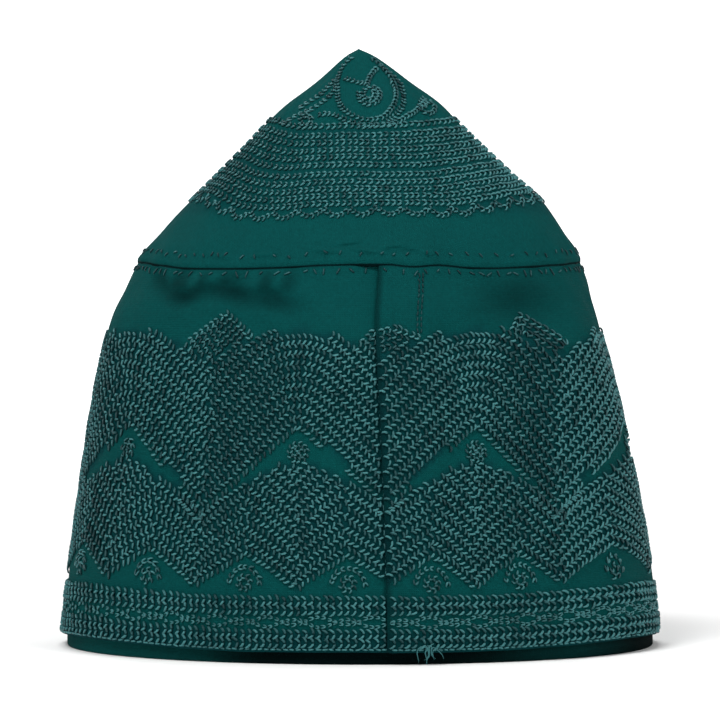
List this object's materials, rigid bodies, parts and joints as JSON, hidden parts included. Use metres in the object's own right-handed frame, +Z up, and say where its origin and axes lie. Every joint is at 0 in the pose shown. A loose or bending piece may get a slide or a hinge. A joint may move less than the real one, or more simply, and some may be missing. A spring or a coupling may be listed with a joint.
{
  "type": "kufi cap",
  "caption": "Tall soft kufi cap: a low cone crown on a flared, embroidered side panel lapped at the front, with a plain band inside the rim.",
  "frame": {"origin": "under the middle of the cap's box, on the surface that the rim rests on", "axes": "+Z up from the rim to the tip, -Y towards the front, where the side panel laps, and +X to the right of the front seen from outside"},
  "size_m": [0.2, 0.173, 0.1994],
  "materials": {
    "crown_cloth": "dark teal cotton with chain stitch rows in teal thread",
    "panel_cloth": "dark teal cotton, densely chain stitched in teal thread",
    "band_cloth": "plain dark teal cotton"
  },
  "bodies": {
    "root": {"crown": "crown_cloth", "side_panel": "panel_cloth", "inner_band": "band_cloth"}
  },
  "joints": []
}
